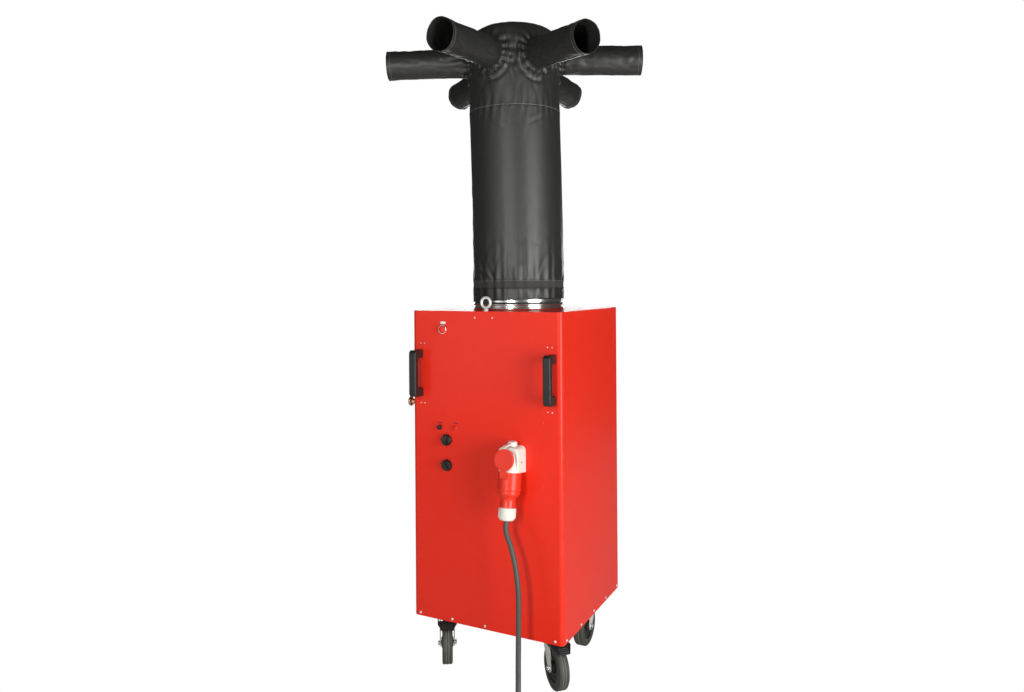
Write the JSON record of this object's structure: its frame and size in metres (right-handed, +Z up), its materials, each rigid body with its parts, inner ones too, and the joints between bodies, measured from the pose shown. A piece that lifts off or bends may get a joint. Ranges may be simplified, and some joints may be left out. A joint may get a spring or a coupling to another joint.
{
  "type": "boot dryer",
  "caption": "Mobile hot-air boot and suit dryer: wheeled red steel fan-heater cabinet with controls, blowing up into a black fabric sleeve with open side arms.",
  "frame": {"origin": "on the floor, under the sleeve's axis, at the middle of the footprint", "axes": "+Z up along the sleeve, -Y out of the front panel with the controls, +X to the right of a person who faces the front"},
  "size_m": [0.9219, 1.2751, 2.3762],
  "materials": {
    "red_paint": "semi-gloss powder coat",
    "galvanised": "zinc plated",
    "steel": "bright",
    "chrome": "polished",
    "brass": "plain",
    "coated_fabric": "coated nylon, satin",
    "webbing": "woven webbing",
    "black_plastic": "fine grain",
    "white_plastic": "satin off-white",
    "red_plastic": "moulded gloss",
    "rubber": "grooved grey-black rubber",
    "cable_rubber": "matt rubber sheath",
    "filter_wool": "loose filter wool",
    "red_lens": "translucent lens"
  },
  "bodies": {
    "cabinet": {"cabinet_wrap": "red_paint", "top_panel": "red_paint", "base_tray": "galvanised", "intake_grille": "galvanised", "door_hinge_upper": "galvanised", "door_hinge_lower": "galvanised", "lifting_eye_front": "galvanised", "lifting_eye_rear": "galvanised", "control_box": "galvanised", "air_duct": "galvanised", "motor_bracket": "galvanised", "castor_plate_fl": "galvanised", "castor_plate_fr": "galvanised", "castor_plate_rl": "galvanised", "castor_plate_rr": "galvanised", "fan_motor": "steel", "heater_element": "steel", "spigot_collar": "steel", "button_bezel": "chrome", "tube_sleeve": "coated_fabric", "crown_sleeve": "coated_fabric", "arm_sleeve_1": "coated_fabric", "arm_sleeve_2": "coated_fabric", "arm_sleeve_3": "coated_fabric", "arm_sleeve_4": "coated_fabric", "arm_sleeve_5": "coated_fabric", "arm_sleeve_6": "coated_fabric", "sleeve_strap": "webbing", "handle_left": "black_plastic", "handle_right": "black_plastic", "power_inlet": "white_plastic", "connector_nut": "white_plastic", "connector_body": "red_plastic", "supply_plug": "red_plastic", "supply_cable": "cable_rubber", "cable_coil": "cable_rubber", "filter_pad": "filter_wool", "pilot_lamp": "red_lens"},
    "fan": {"fan_impeller": "galvanised"},
    "door": {"service_door": "red_paint"},
    "latch": {"door_latch": "brass"},
    "start_key": {"start_button": "red_plastic"},
    "fuse": {"fuse_cap": "black_plastic"},
    "thermostat": {"thermostat_knob": "black_plastic"},
    "timer": {"timer_knob": "black_plastic"},
    "lid": {"connector_lid": "red_plastic"},
    "swivel_fl": {"castor_fork_fl": "galvanised", "castor_axle_fl": "steel"},
    "wheel_fl": {"castor_wheel_fl": "rubber"},
    "swivel_fr": {"castor_fork_fr": "galvanised", "castor_axle_fr": "steel"},
    "wheel_fr": {"castor_wheel_fr": "rubber"},
    "swivel_rl": {"castor_fork_rl": "galvanised", "castor_axle_rl": "steel"},
    "wheel_rl": {"castor_wheel_rl": "rubber"},
    "swivel_rr": {"castor_fork_rr": "galvanised", "castor_axle_rr": "steel"},
    "wheel_rr": {"castor_wheel_rr": "rubber"},
    "brake_fl": {"brake_pedal_fl": "black_plastic"},
    "brake_fr": {"brake_pedal_fr": "black_plastic"}
  },
  "joints": [
    {"name": "fan_spin", "type": "hinge", "parent": "cabinet", "child": "fan", "pos_m": [0, 0, 0.8915], "axis": [0, 0, 1], "continuous": true},
    {"name": "door_swing", "type": "hinge", "parent": "cabinet", "child": "door", "pos_m": [-0.3043, 0.2395, 0.8], "axis": [0, 0, -1], "range_deg": [0, 120]},
    {"name": "latch_turn", "type": "hinge", "parent": "door", "child": "latch", "pos_m": [-0.2983, -0.243, 0.956], "axis": [-1, 0, 0], "range_deg": [0, 90]},
    {"name": "button_press", "type": "slide", "parent": "cabinet", "child": "start_key", "axis": [0, 1, 0], "range_m": [0, 0.004], "stiffness_N_per_m": 400},
    {"name": "fuse_turn", "type": "hinge", "parent": "cabinet", "child": "fuse", "pos_m": [-0.181, -0.286, 0.877], "axis": [0, -1, 0], "range_deg": [0, 90]},
    {"name": "thermostat_turn", "type": "hinge", "parent": "cabinet", "child": "thermostat", "pos_m": [-0.153, -0.286, 0.833], "axis": [0, -1, 0], "range_deg": [-135, 135]},
    {"name": "timer_turn", "type": "hinge", "parent": "cabinet", "child": "timer", "pos_m": [-0.153, -0.286, 0.742], "axis": [0, -1, 0], "range_deg": [-300, 0]},
    {"name": "lid_swing", "type": "hinge", "parent": "cabinet", "child": "lid", "pos_m": [0.126, -0.38456, 0.74949], "axis": [1, 0, 0], "range_deg": [0, 35], "stiffness_Nm_per_rad": 0.2, "springref_deg": -45.84},
    {"name": "castor_swivel_fl", "type": "hinge", "parent": "cabinet", "child": "swivel_fl", "pos_m": [-0.213, -0.195, 0.17], "axis": [0, 0, 1], "continuous": true},
    {"name": "wheel_spin_fl", "type": "hinge", "parent": "swivel_fl", "child": "wheel_fl", "pos_m": [-0.18915, -0.23316, 0.075], "axis": [0.848, 0.5299, 0], "continuous": true},
    {"name": "brake_press_fl", "type": "hinge", "parent": "swivel_fl", "child": "brake_fl", "pos_m": [-0.213, -0.195, 0.161], "axis": [0.848, 0.5299, 0], "range_deg": [0, 8]},
    {"name": "castor_swivel_fr", "type": "hinge", "parent": "cabinet", "child": "swivel_fr", "pos_m": [0.213, -0.195, 0.17], "axis": [0, 0, 1], "continuous": true},
    {"name": "wheel_spin_fr", "type": "hinge", "parent": "swivel_fr", "child": "wheel_fr", "pos_m": [0.24559, -0.22603, 0.075], "axis": [0.6896, 0.7242, 0], "continuous": true},
    {"name": "brake_press_fr", "type": "hinge", "parent": "swivel_fr", "child": "brake_fr", "pos_m": [0.213, -0.195, 0.161], "axis": [0.6896, 0.7242, 0], "range_deg": [0, 8]},
    {"name": "castor_swivel_rl", "type": "hinge", "parent": "cabinet", "child": "swivel_rl", "pos_m": [-0.213, 0.165, 0.17], "axis": [0, 0, 1], "continuous": true},
    {"name": "wheel_spin_rl", "type": "hinge", "parent": "swivel_rl", "child": "wheel_rl", "pos_m": [-0.23413, 0.12527, 0.075], "axis": [0.8829, -0.4695, 0], "continuous": true},
    {"name": "castor_swivel_rr", "type": "hinge", "parent": "cabinet", "child": "swivel_rr", "pos_m": [0.213, 0.165, 0.17], "axis": [0, 0, 1], "continuous": true},
    {"name": "wheel_spin_rr", "type": "hinge", "parent": "swivel_rr", "child": "wheel_rr", "pos_m": [0.213, 0.12, 0.075], "axis": [1, 0, 0], "continuous": true}
  ]
}
